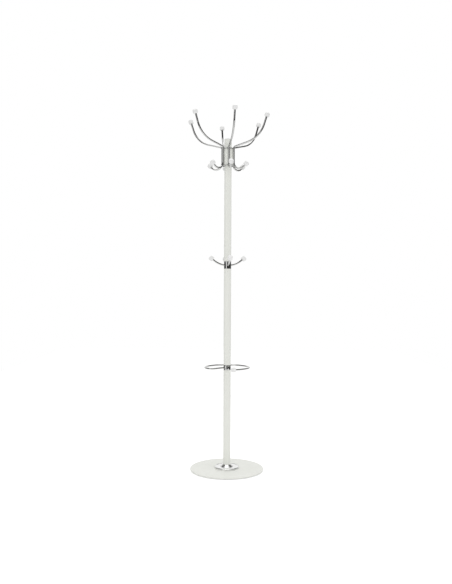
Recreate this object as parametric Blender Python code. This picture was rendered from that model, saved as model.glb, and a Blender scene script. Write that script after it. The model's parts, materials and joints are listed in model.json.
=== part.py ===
"""A revolving coat stand with a disc base, six double hooks, four pegs and an umbrella ring.

A steel disc carries a fixed spindle. A pole of three tubes turns on it, joined by two chromed collars.
Metres, +Z up. The origin is on the floor under the pole, and the front of the stand is -Y.
"""

import math

import bmesh
import bpy
from mathutils import Matrix, Vector

# Fits between pieces
FIT = 0.0003
POLE_RUNNING_GAP = 0.0008
LIFT_PLAY = 0.001

# Base disc and its feet
BASE_D = 0.380
BASE_T = 0.008
BASE_EDGE_R = 0.003
PAD_D = 0.030
PAD_T = 0.0022
PAD_CIRCLE_D = 0.320
PAD_COUNT = 4

# Spindle, its screws and the bearing
SPINDLE_D = 0.022
SPINDLE_L = 0.200
FLANGE_D = 0.090
FLANGE_T = 0.005
SCREW_D = 0.006
SCREW_HEAD_D = 0.0115
SCREW_HEAD_H = 0.0033
SCREW_CIRCLE_D = 0.064
SCREW_COUNT = 3
THRUST_WASHER_D = 0.036
THRUST_WASHER_T = 0.002
BUSH_L = 0.030
BUSH_FLANGE_T = 0.003
KEEPER_D = 0.031
KEEPER_T = 0.0025
KEEPER_SCREW_D = 0.008
KEEPER_SCREW_L = 0.018
KEEPER_HEAD_D = 0.014
KEEPER_HEAD_H = 0.005

# Rosette over the spindle flange
ROSETTE_D = 0.128
ROSETTE_BRIM_H = 0.003
ROSETTE_BRIM_R = 0.0018
ROSETTE_STEP_D = 0.103
ROSETTE_STEP_H = 0.0076
ROSETTE_STEP_R = 0.003
ROSETTE_CONE_D = 0.069
ROSETTE_CONE_R = 0.003
ROSETTE_LIP = 0.0018
ROSETTE_H = 0.0208
ROSETTE_WALL = 0.0012

# Pole tubes and the joints between them
POLE_D = 0.038
POLE_WALL = 0.0015
LOWER_TUBE_L = 0.500
MIDDLE_TUBE_L = 0.503
UPPER_TUBE_L = 0.636
UMBRELLA_COLLAR_H = 0.025
PEG_COLLAR_H = 0.038
STUD_D = 0.012
INSERT_L = 0.025
CAP_T = 0.004
CAP_PLUG_L = 0.016

# Rods, their seats in the collars and their knobs
ROD_D = 0.0095
ROD_SEAT = 0.009
KNOB_D = 0.026
KNOB_L = 0.0215
KNOB_BORE_L = 0.012
KNOB_MOUTH_R = 0.0045
KNOB_CROWN_R = 0.0065

# Head with the double hooks
HOOK_COUNT = 6
HEAD_R = 0.033
HEAD_DROP = 0.0465
HEAD_H = 0.0910
ROD_UPRIGHT_L = 0.0744
RING_T = 0.0035
CLAMP_RING_D = 0.069
TRIM_RING_D = 0.0605
SET_SCREW_D = 0.006
SET_SCREW_TURN = 150.0
ARM_ROOT_R = 0.010
ARM_ROOT_TURN = 75.0
ARM_RUN = 0.070
ARM_SWEEP_R = 0.130
ARM_SWEEP_TURN = 56.0
ARM_TIP = 0.051
HOOK_R = 0.032
HOOK_TURN = 133.0
HOOK_TIP = 0.021

# Pegs on the upper collar
PEG_COUNT = 4
PEG_TILT = 10.0
PEG_ROOT = 0.002
PEG_R = 0.110
PEG_TURN = 28.0
PEG_TIP = 0.0215

# Umbrella ring on the lower collar
UMBRELLA_R = 0.115
UMBRELLA_BEND_R = 0.030
UMBRELLA_ROOT_TURN = -55.0
UMBRELLA_END_TURN = 14.0
UMBRELLA_TIP = 0.015

# Facets
DISC_STEPS = 48
ROUND_STEPS = 28
INNER_STEPS = 16
SMALL_STEPS = 12
CHORD_GAP = 0.0003
ROD_RESOLUTION = 2

# Heights of the stack, from the floor up
BASE_Z = PAD_T + FIT
FLANGE_Z = BASE_Z + BASE_T + FIT
ROSETTE_Z = BASE_Z + BASE_T + FIT
WASHER_Z = FLANGE_Z + FLANGE_T + FIT
BUSH_Z = WASHER_Z + THRUST_WASHER_T + FIT
LOWER_TUBE_Z = BUSH_Z + BUSH_FLANGE_T + FIT
UMBRELLA_COLLAR_Z = LOWER_TUBE_Z + LOWER_TUBE_L + FIT
MIDDLE_TUBE_Z = UMBRELLA_COLLAR_Z + UMBRELLA_COLLAR_H + FIT
PEG_COLLAR_Z = MIDDLE_TUBE_Z + MIDDLE_TUBE_L + FIT
UPPER_TUBE_Z = PEG_COLLAR_Z + PEG_COLLAR_H + FIT
CAP_Z = UPPER_TUBE_Z + UPPER_TUBE_L + FIT
SPINDLE_TOP_Z = FLANGE_Z + FLANGE_T + SPINDLE_L
HEAD_TOP_Z = CAP_Z - HEAD_DROP
HEAD_LOW_Z = HEAD_TOP_Z - HEAD_H
HOOK_Z = HEAD_TOP_Z - ROD_UPRIGHT_L

# Radii that follow from the sizes above
POLE_R = POLE_D / 2
TUBE_BORE_R = POLE_R - POLE_WALL
ROSETTE_HOLE_R = POLE_R + POLE_RUNNING_GAP
ROD_R = ROD_D / 2
ROD_HOLE_R = ROD_R + FIT
SEAT_R = POLE_R - ROD_SEAT


def material(name, colour, roughness, metallic):
    """A plain surface of one colour."""
    made = bpy.data.materials.new(name)
    made.use_nodes = True
    surface = made.node_tree.nodes["Principled BSDF"]
    surface.inputs["Base Color"].default_value = (*colour, 1)
    surface.inputs["Roughness"].default_value = roughness
    surface.inputs["Metallic"].default_value = metallic
    made.diffuse_color = (*colour, 1)
    return made


def chords(radius, turn):
    """How many chords draw an arc of a radius and a turn in radians, each within the chord gap of it."""
    return max(2, round(abs(turn) / (2 * math.acos(1 - min(CHORD_GAP / radius, 1)))))


def rounded(corners):
    """An outline through (radius, height, fillet) corners, with each fillet drawn as short chords."""
    outline = []
    for i, (x, y, fillet) in enumerate(corners):
        corner = Vector((x, y))
        if fillet == 0:
            outline.append((x, y))
            continue
        before = (Vector(corners[i - 1][:2]) - corner).normalized()
        after = (Vector(corners[(i + 1) % len(corners)][:2]) - corner).normalized()
        half = before.angle(after) / 2
        centre = corner + (before + after).normalized() * fillet / math.sin(half)
        first = corner + before * fillet / math.tan(half) - centre
        turn = first.angle_signed(corner + after * fillet / math.tan(half) - centre)
        steps = chords(fillet, turn)
        for step in range(steps + 1):
            spoke = first.copy()
            spoke.rotate(Matrix.Rotation(-turn * step / steps, 2))
            outline.append((centre + spoke)[:])
    return outline


def turned(name, outline, steps=ROUND_STEPS):
    """A mesh turned about Z. An outline that starts on the axis ends there, and any other closes itself."""
    shape = bmesh.new()
    verts = [shape.verts.new((x, 0, z)) for x, z in outline]
    following = verts[1:] if outline[0][0] == 0 else verts[1:] + verts[:1]
    edges = [shape.edges.new(pair) for pair in zip(verts, following)]
    bmesh.ops.spin(shape, geom=verts + edges, axis=(0, 0, 1), cent=(0, 0, 0), angle=math.tau, steps=steps)
    bmesh.ops.remove_doubles(shape, verts=shape.verts, dist=0.000001)
    bmesh.ops.recalc_face_normals(shape, faces=shape.faces)
    mesh = bpy.data.meshes.new(name)
    shape.to_mesh(mesh)
    shape.free()
    mesh.shade_smooth()
    mesh.set_sharp_from_angle(angle=math.radians(35))
    return mesh


def ring_outline(inner_r, outer_r, low, high):
    """The outline of a plain ring, or of a plain rod where the inner radius is 0."""
    return [(inner_r, high), (outer_r, high), (outer_r, low), (inner_r, low)]


def place(name, data, surface, body, where=Matrix()):
    """One piece, carried by its body's empty."""
    piece = bpy.data.objects.new(name, data)
    bpy.context.scene.collection.objects.link(piece)
    if not data.materials:
        data.materials.append(surface)
    piece.parent = body
    piece.matrix_world = where
    return piece


def cutter(name, data, where=Matrix()):
    """A guide shape that is cut out of pieces and is not a piece itself."""
    guide = bpy.data.objects.new(name, data)
    bpy.context.scene.collection.objects.link(guide)
    guide.matrix_world = where
    guide.hide_render = True
    guide.display_type = "WIRE"
    return guide


def cut(piece, guide):
    """Cuts a guide shape out of a piece."""
    boolean = piece.modifiers.new("cut_" + guide.name, "BOOLEAN")
    boolean.operation = "DIFFERENCE"
    boolean.solver = "EXACT"
    boolean.object = guide


def around(turn, radius=0.0, height=0.0):
    """A place turned about the pole from the front, out by a radius and up by a height."""
    return Matrix.Rotation(math.radians(turn), 4, "Z") @ Matrix.Translation((0, -radius, height))


def radial(turn, radius, height, tilt=0.0):
    """A place like around, with its own Z pointing away from the pole and tilted up."""
    return around(turn, radius, height) @ Matrix.Rotation(math.radians(90 - tilt), 4, "X")


def bent(point, heading, *moves):
    """Points of a rod bent in one plane. A move is a straight length, or a bend's radius and turn."""
    point = Vector(point)
    points = [point.copy()]
    for move in moves:
        if not isinstance(move, tuple):
            point = point + Vector((math.cos(heading), math.sin(heading))) * move
            points.append(point.copy())
            continue
        radius, turn = move
        side = math.copysign(1, turn)
        centre = point + Vector((-math.sin(heading), math.cos(heading))) * radius * side
        steps = chords(radius, math.radians(turn))
        for _ in range(steps):
            heading += math.radians(turn) / steps
            point = centre + Vector((math.sin(heading), -math.cos(heading))) * radius * side
            points.append(point.copy())
    return points, heading


def rod(name, points):
    """A round rod along points, closed at both ends."""
    path = bpy.data.curves.new(name, "CURVE")
    path.dimensions = "3D"
    path.bevel_depth = ROD_R
    path.bevel_resolution = ROD_RESOLUTION
    path.use_fill_caps = True
    spline = path.splines.new("POLY")
    spline.points.add(len(points) - 1)
    for spot, point in zip(spline.points, points):
        spot.co = (*point, 1)
    return path


def knob_place(end, direction):
    """Where a knob sits on a rod that ends at a point and runs in a direction."""
    mouth = end - direction * (KNOB_BORE_L - FIT)
    return Matrix.Translation(mouth) @ direction.to_track_quat("Z", "Y").to_matrix().to_4x4()


def in_plane(point):
    """A point of the upright plane at the front, from its radius and height."""
    return Vector((0, -point[0], point[1]))


for old in list(bpy.data.objects):
    bpy.data.objects.remove(old, do_unlink=True)

base = bpy.data.objects.new("base_frame", None)
column = bpy.data.objects.new("column_frame", None)
for frame in (base, column):
    bpy.context.scene.collection.objects.link(frame)

white_paint = material("white_paint", (0.80, 0.81, 0.76), 0.42, 0.0)
white_plastic = material("white_plastic", (0.79, 0.79, 0.78), 0.30, 0.0)
chrome = material("chrome", (0.78, 0.78, 0.76), 0.08, 1.0)
plain_steel = material("plain_steel", (0.52, 0.53, 0.54), 0.35, 1.0)
nylon = material("nylon", (0.72, 0.70, 0.64), 0.50, 0.0)
rubber = material("rubber", (0.05, 0.05, 0.05), 0.85, 0.0)

# Base disc, cut for the countersunk screws that hold the spindle from below
disc = turned("base_plate", rounded([
    (0, BASE_Z + BASE_T, 0),
    (BASE_D / 2, BASE_Z + BASE_T, BASE_EDGE_R),
    (BASE_D / 2, BASE_Z, BASE_EDGE_R / 3),
    (0, BASE_Z, 0),
]), DISC_STEPS)
base_plate = place("base_plate", disc, white_paint, base)

pad = turned("foot_pad", rounded([
    (0, PAD_T, 0),
    (PAD_D / 2, PAD_T, 0),
    (PAD_D / 2, 0, PAD_T / 3),
    (0, 0, 0),
]), SMALL_STEPS)
for i in range(PAD_COUNT):
    place(f"foot_pad_{i + 1}", pad, rubber, base, around(45 + 360 / PAD_COUNT * i, PAD_CIRCLE_D / 2))

# Spindle with its flange, and a blind hole in its top for the keeper screw
spindle_shape = turned("spindle", [
    (0, SPINDLE_TOP_Z - KEEPER_SCREW_L - FIT),
    (KEEPER_SCREW_D / 2 + FIT, SPINDLE_TOP_Z - KEEPER_SCREW_L - FIT),
    (KEEPER_SCREW_D / 2 + FIT, SPINDLE_TOP_Z),
    (SPINDLE_D / 2, SPINDLE_TOP_Z),
    (SPINDLE_D / 2, FLANGE_Z + FLANGE_T),
    (FLANGE_D / 2, FLANGE_Z + FLANGE_T),
    (FLANGE_D / 2, FLANGE_Z),
    (0, FLANGE_Z),
], INNER_STEPS)
spindle = place("spindle", spindle_shape, plain_steel, base)


def countersunk(grow, low, high):
    """The outline of a countersunk screw, head down, grown all round by a gap."""
    head_z = BASE_Z + SCREW_HEAD_H
    return [
        (0, high),
        (SCREW_D / 2 + grow, high),
        (SCREW_D / 2 + grow, head_z + grow),
        (SCREW_HEAD_D / 2 + grow, BASE_Z + SCREW_HEAD_H / 6 + grow),
        (SCREW_HEAD_D / 2 + grow, low),
        (0, low),
    ]


screw_top = FLANGE_Z + FLANGE_T - FIT
screw = turned("spindle_screw", countersunk(0, BASE_Z + FIT, screw_top), SMALL_STEPS)
screw_hole = turned("screw_hole", countersunk(FIT, BASE_Z - FIT, FLANGE_Z + 2 * FLANGE_T), SMALL_STEPS)
for i in range(SCREW_COUNT):
    spot = around(360 / SCREW_COUNT * (i + 0.5), SCREW_CIRCLE_D / 2)
    place(f"spindle_screw_{i + 1}", screw, plain_steel, base, spot)
    hole = cutter(f"screw_hole_{i + 1}", screw_hole, spot)
    cut(base_plate, hole)
    cut(spindle, hole)

# Bearing: a thrust washer on the flange, two bushes in the tube, and a keeper on top of the spindle
SLEEVE_BORE_R = SPINDLE_D / 2 + FIT
BUSH_R = TUBE_BORE_R - FIT
washer = ring_outline(SLEEVE_BORE_R, THRUST_WASHER_D / 2, WASHER_Z, WASHER_Z + THRUST_WASHER_T)
place("thrust_washer", turned("thrust_washer", washer, INNER_STEPS), plain_steel, base)
place("lower_bush", turned("lower_bush", [
    (SLEEVE_BORE_R, BUSH_Z + BUSH_FLANGE_T + BUSH_L),
    (BUSH_R, BUSH_Z + BUSH_FLANGE_T + BUSH_L),
    (BUSH_R, BUSH_Z + BUSH_FLANGE_T),
    (POLE_R - FIT, BUSH_Z + BUSH_FLANGE_T),
    (POLE_R - FIT, BUSH_Z),
    (SLEEVE_BORE_R, BUSH_Z),
], INNER_STEPS), nylon, column)
upper_bush_z = SPINDLE_TOP_Z - LIFT_PLAY
upper_bush = ring_outline(SLEEVE_BORE_R, BUSH_R, upper_bush_z - BUSH_L, upper_bush_z)
place("upper_bush", turned("upper_bush", upper_bush, INNER_STEPS), nylon, column)

keeper_z = SPINDLE_TOP_Z + FIT
keeper = ring_outline(KEEPER_SCREW_D / 2 + FIT, KEEPER_D / 2, keeper_z, keeper_z + KEEPER_T)
place("keeper_washer", turned("keeper_washer", keeper, INNER_STEPS), plain_steel, base)
head_z = keeper_z + KEEPER_T + FIT
place("keeper_screw", turned("keeper_screw", [
    (0, head_z + KEEPER_HEAD_H),
    (KEEPER_HEAD_D / 2, head_z + KEEPER_HEAD_H),
    (KEEPER_HEAD_D / 2, head_z),
    (KEEPER_SCREW_D / 2, head_z),
    (KEEPER_SCREW_D / 2, SPINDLE_TOP_Z - KEEPER_SCREW_L),
    (0, SPINDLE_TOP_Z - KEEPER_SCREW_L),
], SMALL_STEPS), plain_steel, base)

# Rosette, a thin bell pressed from sheet, with a stepped brim and a cone round the foot of the pole
def bell(inset, lip):
    """One face of the rosette, from its foot to the hole for the pole, set in from the outer face."""
    brim_r = ROSETTE_D / 2 - inset
    brim_z = ROSETTE_Z + ROSETTE_BRIM_H - inset
    step_r = ROSETTE_STEP_D / 2 - inset
    step_z = ROSETTE_Z + ROSETTE_STEP_H - inset
    corners = [
        (brim_r, ROSETTE_Z, 0),
        (brim_r, brim_z, ROSETTE_BRIM_R - inset),
        (step_r, brim_z, ROSETTE_BRIM_R - inset),
        (step_r, step_z, ROSETTE_STEP_R - inset),
        (ROSETTE_CONE_D / 2 - inset, step_z, ROSETTE_CONE_R + inset),
        (ROSETTE_HOLE_R + lip, ROSETTE_Z + ROSETTE_H - 2 * inset, 0),
    ]
    return rounded(corners)


rosette_edge = [(ROSETTE_HOLE_R, ROSETTE_Z + ROSETTE_H)]
rosette = bell(0, ROSETTE_LIP) + rosette_edge + bell(ROSETTE_WALL, 0)[::-1]
place("rosette", turned("rosette", rosette), chrome, base)

# Three tubes of the pole
for name, low, length in (
    ("pole_lower", LOWER_TUBE_Z, LOWER_TUBE_L),
    ("pole_middle", MIDDLE_TUBE_Z, MIDDLE_TUBE_L),
    ("pole_upper", UPPER_TUBE_Z, UPPER_TUBE_L),
):
    tube = ring_outline(TUBE_BORE_R, POLE_R, low, low + length)
    place(name, turned(name, tube), white_paint, column)

# Two joints, each a collar clamped between the inserts of two tubes by a stud
collars = []
for name, low, height in (
    ("umbrella_collar", UMBRELLA_COLLAR_Z, UMBRELLA_COLLAR_H),
    ("peg_collar", PEG_COLLAR_Z, PEG_COLLAR_H),
):
    bore_r = STUD_D / 2 + FIT
    below = low - FIT
    above = low + height + FIT
    collar = ring_outline(bore_r, POLE_R, low, low + height)
    collars.append(place(name, turned(name, collar), chrome, column))
    stud = ring_outline(0, STUD_D / 2, below - INSERT_L, above + INSERT_L)
    place(name + "_stud", turned(name + "_stud", stud, SMALL_STEPS), plain_steel, column)
    for side, foot in (("lower", below - INSERT_L), ("upper", above)):
        insert = ring_outline(bore_r, TUBE_BORE_R - FIT, foot, foot + INSERT_L)
        place(f"{name}_{side}_insert", turned(name + "_insert", insert, INNER_STEPS), plain_steel, column)
umbrella_collar, peg_collar = collars

# Cap that closes the top of the pole
place("pole_cap", turned("pole_cap", rounded([
    (0, CAP_Z + CAP_T, 0),
    (POLE_R, CAP_Z + CAP_T, CAP_T / 2),
    (POLE_R, CAP_Z, 0),
    (TUBE_BORE_R - FIT, CAP_Z, 0),
    (TUBE_BORE_R - FIT, CAP_Z - CAP_PLUG_L, 0),
    (0, CAP_Z - CAP_PLUG_L, 0),
])), white_plastic, column)

# Knob that every rod ends in, with a blind bore for the rod
knob = turned("knob", rounded([
    (0, KNOB_BORE_L, 0),
    (ROD_HOLE_R, KNOB_BORE_L, 0),
    (ROD_HOLE_R, 0, 0),
    (KNOB_D / 2, 0, KNOB_MOUTH_R),
    (KNOB_D / 2, KNOB_L, KNOB_CROWN_R),
    (0, KNOB_L, 0),
]), SMALL_STEPS)

# Head: a hub on the pole, a notched ring above it that holds the six rods, and a trim ring below it
hub_low = HEAD_LOW_Z + RING_T + FIT
hub_high = HEAD_TOP_Z - RING_T - FIT
hub_r = HEAD_R - ROD_R - FIT
hub = ring_outline(POLE_R + FIT, hub_r, hub_low, hub_high)
head_hub = place("head_hub", turned("head_hub", hub), white_paint, column)
clamp = ring_outline(POLE_R + FIT, CLAMP_RING_D / 2, HEAD_TOP_Z - RING_T, HEAD_TOP_Z)
clamp_ring = place("head_clamp_ring", turned("head_clamp_ring", clamp), chrome, column)
trim = ring_outline(POLE_R + FIT, TRIM_RING_D / 2, HEAD_LOW_Z, HEAD_LOW_Z + RING_T)
place("head_trim_ring", turned("head_trim_ring", trim), chrome, column)

set_screw_l = hub_r - POLE_R - FIT
set_screw = ring_outline(0, SET_SCREW_D / 2, 0, set_screw_l)
set_spot = radial(SET_SCREW_TURN, POLE_R + FIT, (hub_low + hub_high) / 2)
place("head_set_screw", turned("head_set_screw", set_screw, SMALL_STEPS), plain_steel, column, set_spot)
set_hole = ring_outline(0, SET_SCREW_D / 2 + FIT, -POLE_R / 2, set_screw_l + POLE_R / 2)
cut(head_hub, cutter("set_hole", turned("set_hole", set_hole, SMALL_STEPS), set_spot))

hook, hook_heading = bent((HEAD_R, HOOK_Z), -math.pi / 2, (HOOK_R, HOOK_TURN), HOOK_TIP)
arm, arm_heading = bent(
    (HEAD_R, HEAD_TOP_Z),
    math.pi / 2,
    (ARM_ROOT_R, -ARM_ROOT_TURN),
    ARM_RUN,
    (ARM_SWEEP_R, ARM_SWEEP_TURN),
    ARM_TIP,
)
double_hook = rod("double_hook", [in_plane(point) for point in hook[::-1] + arm])
arm_knob = knob_place(in_plane(arm[-1]), in_plane((math.cos(arm_heading), math.sin(arm_heading))))
hook_knob = knob_place(in_plane(hook[-1]), in_plane((math.cos(hook_heading), math.sin(hook_heading))))
notch = ring_outline(0, ROD_HOLE_R, HEAD_LOW_Z - HEAD_H, HEAD_TOP_Z + HEAD_H)
notch_shape = turned("notch", notch, SMALL_STEPS)
for i in range(HOOK_COUNT):
    spot = around(360 / HOOK_COUNT * i)
    place(f"double_hook_{i + 1}", double_hook, chrome, column, spot)
    place(f"arm_knob_{i + 1}", knob, white_plastic, column, spot @ arm_knob)
    place(f"hook_knob_{i + 1}", knob, white_plastic, column, spot @ hook_knob)
    cut(clamp_ring, cutter(f"notch_{i + 1}", notch_shape, around(360 / HOOK_COUNT * i, HEAD_R)))

# Pegs seated in the upper collar, in holes that tilt up
seat = turned("seat", ring_outline(0, ROD_HOLE_R, -ROD_SEAT - FIT, ROD_SEAT), SMALL_STEPS)
peg_z = PEG_COLLAR_Z + PEG_COLLAR_H / 2
tilt = math.radians(PEG_TILT)
peg_points, peg_heading = bent(
    (POLE_R - ROD_SEAT * math.cos(tilt), peg_z - ROD_SEAT * math.sin(tilt)),
    tilt,
    ROD_SEAT + PEG_ROOT,
    (PEG_R, PEG_TURN),
    PEG_TIP,
)
peg = rod("peg", [in_plane(point) for point in peg_points])
peg_knob = knob_place(in_plane(peg_points[-1]), in_plane((math.cos(peg_heading), math.sin(peg_heading))))
for i in range(PEG_COUNT):
    turn = 360 / PEG_COUNT * i
    place(f"peg_{i + 1}", peg, chrome, column, around(turn))
    place(f"peg_knob_{i + 1}", knob, white_plastic, column, around(turn) @ peg_knob)
    cut(peg_collar, cutter(f"peg_seat_{i + 1}", seat, radial(turn, POLE_R, peg_z, PEG_TILT)))

# Umbrella ring: one rod out from the lower collar and round the pole, open at the front
umbrella_z = UMBRELLA_COLLAR_Z + UMBRELLA_COLLAR_H / 2
bend_out = UMBRELLA_R - UMBRELLA_BEND_R
bend_turn = math.degrees(math.asin(UMBRELLA_BEND_R / bend_out))
loop_turn = 360 + UMBRELLA_ROOT_TURN - bend_turn - UMBRELLA_END_TURN
loop, loop_heading = bent(
    (0, -SEAT_R),
    -math.pi / 2,
    math.sqrt(bend_out**2 - UMBRELLA_BEND_R**2) - SEAT_R,
    (UMBRELLA_BEND_R, -90 - bend_turn),
    (UMBRELLA_R, -loop_turn),
    UMBRELLA_TIP,
)
ring_spot = around(UMBRELLA_ROOT_TURN)
loop_end = Vector((*loop[-1], umbrella_z))
loop_direction = Vector((math.cos(loop_heading), math.sin(loop_heading), 0))
umbrella_ring = rod("umbrella_ring", [(x, y, umbrella_z) for x, y in loop])
place("umbrella_ring", umbrella_ring, chrome, column, ring_spot)
place("umbrella_knob", knob, white_plastic, column, ring_spot @ knob_place(loop_end, loop_direction))
cut(umbrella_collar, cutter("umbrella_seat", seat, radial(UMBRELLA_ROOT_TURN, POLE_R, umbrella_z)))
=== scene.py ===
"""A revolving coat stand: fine pieces and finishes in the place of its solids, in a plain white studio."""
import json
import math

import bmesh
import bpy
from mathutils import Matrix, Vector

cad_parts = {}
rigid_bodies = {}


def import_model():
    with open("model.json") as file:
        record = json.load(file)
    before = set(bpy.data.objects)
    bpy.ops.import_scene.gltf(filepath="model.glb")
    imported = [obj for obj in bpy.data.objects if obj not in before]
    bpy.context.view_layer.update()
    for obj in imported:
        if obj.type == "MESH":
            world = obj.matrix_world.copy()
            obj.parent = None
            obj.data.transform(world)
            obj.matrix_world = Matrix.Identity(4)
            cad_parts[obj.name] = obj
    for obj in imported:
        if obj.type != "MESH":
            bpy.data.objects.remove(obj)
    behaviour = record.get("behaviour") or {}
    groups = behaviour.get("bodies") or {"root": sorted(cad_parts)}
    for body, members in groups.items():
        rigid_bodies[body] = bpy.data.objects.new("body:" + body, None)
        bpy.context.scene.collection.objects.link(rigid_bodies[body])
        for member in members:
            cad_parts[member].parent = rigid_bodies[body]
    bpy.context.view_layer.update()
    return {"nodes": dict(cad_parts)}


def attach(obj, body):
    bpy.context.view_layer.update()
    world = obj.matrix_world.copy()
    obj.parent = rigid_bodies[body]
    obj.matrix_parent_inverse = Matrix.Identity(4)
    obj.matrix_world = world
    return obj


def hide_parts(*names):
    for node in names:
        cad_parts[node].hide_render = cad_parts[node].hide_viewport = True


for old in list(bpy.data.objects):
    bpy.data.objects.remove(old, do_unlink=True)
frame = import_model()

# Studio: a level camera, a white sheet on the floor, three soft lamps and pale light from all round.
# Dark walls stand far off at the sides and behind the camera, and only metal sees them, as dark lines.
# For the light that metal throws on paint, the walls are as bright as the air.
CAMERA_TURN = math.radians(-9.0)
CAMERA_DISTANCE = 3.402
CAMERA_HEIGHT = 0.929
CAMERA_ROLL = math.radians(0.245)
PICTURE_HEIGHT = 584
FOCAL_PIXELS = 650.0
POLE_OFFSET_PIXELS = 1.45
SENSOR_MM = 36.0
SHEET_WIDTH = 5.2
SHEET_FRONT = 2.6
SHEET_BACK = 7.0
SHEET_WHITE = (0.90, 0.90, 0.90, 1)
SHEET_LIFT = 0.28
AIR_WHITE = (1, 1, 1, 1)
ROOM_LIGHT = 0.86
WALL_DISTANCE = 8.0
WALL_HALF_TURN = 142
WALL_LOW = -44
WALL_BACK_HIGH = -2
WALL_HIGH = 64
WALL_RISE_STEP = 6
WALL_TURN_STEP = 4
WALL_DARK = 0.060
WALL_PALE = 0.50
BAND_RISE = 13.0
BAND_SPREAD = 9.0
PANEL_TURN = -39.0
PANEL_HALF_WIDTH = 10.0
PANEL_SOFT_SIDE = 2.0
PANEL_RISE = 6.0
PANEL_HALF_HEIGHT = 20.0
PANEL_SOFT_END = 5.0
PANEL_LIGHT = 1.7

scene = bpy.context.scene
scene.view_settings.view_transform = "Standard"
facing = Matrix.Rotation(CAMERA_TURN, 4, "Z")

lens = bpy.data.cameras.new("camera")
lens.sensor_width = SENSOR_MM
lens.lens = SENSOR_MM * FOCAL_PIXELS / PICTURE_HEIGHT
camera = bpy.data.objects.new("camera", lens)
scene.collection.objects.link(camera)
camera.matrix_world = (
    facing
    @ Matrix.Translation((0, -CAMERA_DISTANCE, CAMERA_HEIGHT))
    @ Matrix.Rotation(POLE_OFFSET_PIXELS / FOCAL_PIXELS, 4, "Z")
    @ Matrix.Rotation(math.pi / 2, 4, "X")
    @ Matrix.Rotation(CAMERA_ROLL, 4, "Z")
)
scene.camera = camera


def add(tree, kind, inputs=None, **settings):
    """Adds a node to a tree, and fills its inputs with values or with the outputs of other nodes."""
    made = tree.nodes.new(kind)
    for name, value in settings.items():
        setattr(made, name, value)
    for name, value in (inputs or {}).items():
        if isinstance(value, bpy.types.NodeSocket):
            tree.links.new(value, made.inputs[name])
        else:
            made.inputs[name].default_value = value
    return made


def sums(tree, operation, *values):
    """The result of one sum on values or outputs."""
    return add(tree, "ShaderNodeMath", dict(enumerate(values)), operation=operation).outputs[0]


def on_show(tree):
    """1 for what is seen directly, in metal or through glass, and 0 for light that falls on things."""
    path = add(tree, "ShaderNodeLightPath").outputs
    direct = sums(tree, "MAXIMUM", path["Is Camera Ray"], path["Is Glossy Ray"])
    return sums(tree, "MAXIMUM", direct, path["Is Transmission Ray"])


def emptied(owner):
    """The cleared node tree of a material or a world."""
    owner.use_nodes = True
    owner.node_tree.nodes.clear()
    return owner.node_tree


room = bpy.data.worlds.new("pale_room")
scene.world = room
air = emptied(room)
air_light = add(air, "ShaderNodeBackground", {"Color": AIR_WHITE, "Strength": ROOM_LIGHT})
air_seen = add(air, "ShaderNodeBackground", {"Color": AIR_WHITE, "Strength": 1.0})
air_mix = add(air, "ShaderNodeMixShader", {0: on_show(air), 1: air_light.outputs[0], 2: air_seen.outputs[0]})
add(air, "ShaderNodeOutputWorld", {"Surface": air_mix.outputs[0]})

sheet_paper = bpy.data.materials.new("white_sheet")
paper = emptied(sheet_paper)
paper_face = add(paper, "ShaderNodeBsdfDiffuse", {"Color": SHEET_WHITE})
paper_lift = sums(paper, "MULTIPLY", on_show(paper), SHEET_LIFT)
paper_glow = add(paper, "ShaderNodeEmission", {"Strength": paper_lift})
paper_sum = add(paper, "ShaderNodeAddShader", {0: paper_face.outputs[0], 1: paper_glow.outputs[0]})
add(paper, "ShaderNodeOutputMaterial", {"Surface": paper_sum.outputs[0]})


def stage_piece(name, shape, finish):
    """An object of the studio that isn't part of the stand."""
    mesh = bpy.data.meshes.new(name)
    shape.to_mesh(mesh)
    shape.free()
    mesh.materials.append(finish)
    made = bpy.data.objects.new(name, mesh)
    scene.collection.objects.link(made)
    return made


sheet = bmesh.new()
sheet_corners = ((-1, -SHEET_FRONT), (1, -SHEET_FRONT), (1, SHEET_BACK), (-1, SHEET_BACK))
sheet.faces.new([
    sheet.verts.new(facing @ Vector((side * SHEET_WIDTH / 2, y, 0))) for side, y in sheet_corners
])
stage_piece("floor_sheet", sheet, sheet_paper)


def up_the_wall(rise):
    """How far up or down the walls a rise in degrees reaches."""
    return WALL_DISTANCE * math.sin(math.radians(rise))


wall_cloth = bpy.data.materials.new("dark_cloth")
cloth = emptied(wall_cloth)
cloth_spot = add(cloth, "ShaderNodeTexCoord").outputs["Object"]
cloth_height = add(cloth, "ShaderNodeSeparateXYZ", {0: cloth_spot}).outputs["Z"]
band_height = CAMERA_HEIGHT + up_the_wall(BAND_RISE)
from_band = sums(cloth, "ABSOLUTE", sums(cloth, "SUBTRACT", cloth_height, band_height))
cloth_tone = add(cloth, "ShaderNodeMapRange", {
    "Value": from_band, "From Min": 0.0, "From Max": up_the_wall(BAND_SPREAD),
    "To Min": WALL_PALE, "To Max": WALL_DARK,
}, interpolation_type="SMOOTHSTEP")
panel_way = facing @ Matrix.Rotation(math.radians(PANEL_TURN), 4, "Z") @ Vector((0, -1, 0))
level_spot = add(cloth, "ShaderNodeVectorMath", {
    0: cloth_spot, 1: (1, 1, 0),
}, operation="MULTIPLY").outputs[0]
level_way = add(cloth, "ShaderNodeVectorMath", {0: level_spot}, operation="NORMALIZE").outputs[0]
towards_panel = add(cloth, "ShaderNodeVectorMath", {0: level_way, 1: panel_way}, operation="DOT_PRODUCT")
in_width = add(cloth, "ShaderNodeMapRange", {
    "Value": towards_panel.outputs["Value"],
    "From Min": math.cos(math.radians(PANEL_HALF_WIDTH + PANEL_SOFT_SIDE)),
    "From Max": math.cos(math.radians(PANEL_HALF_WIDTH - PANEL_SOFT_SIDE)),
}, interpolation_type="SMOOTHSTEP").outputs[0]
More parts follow.
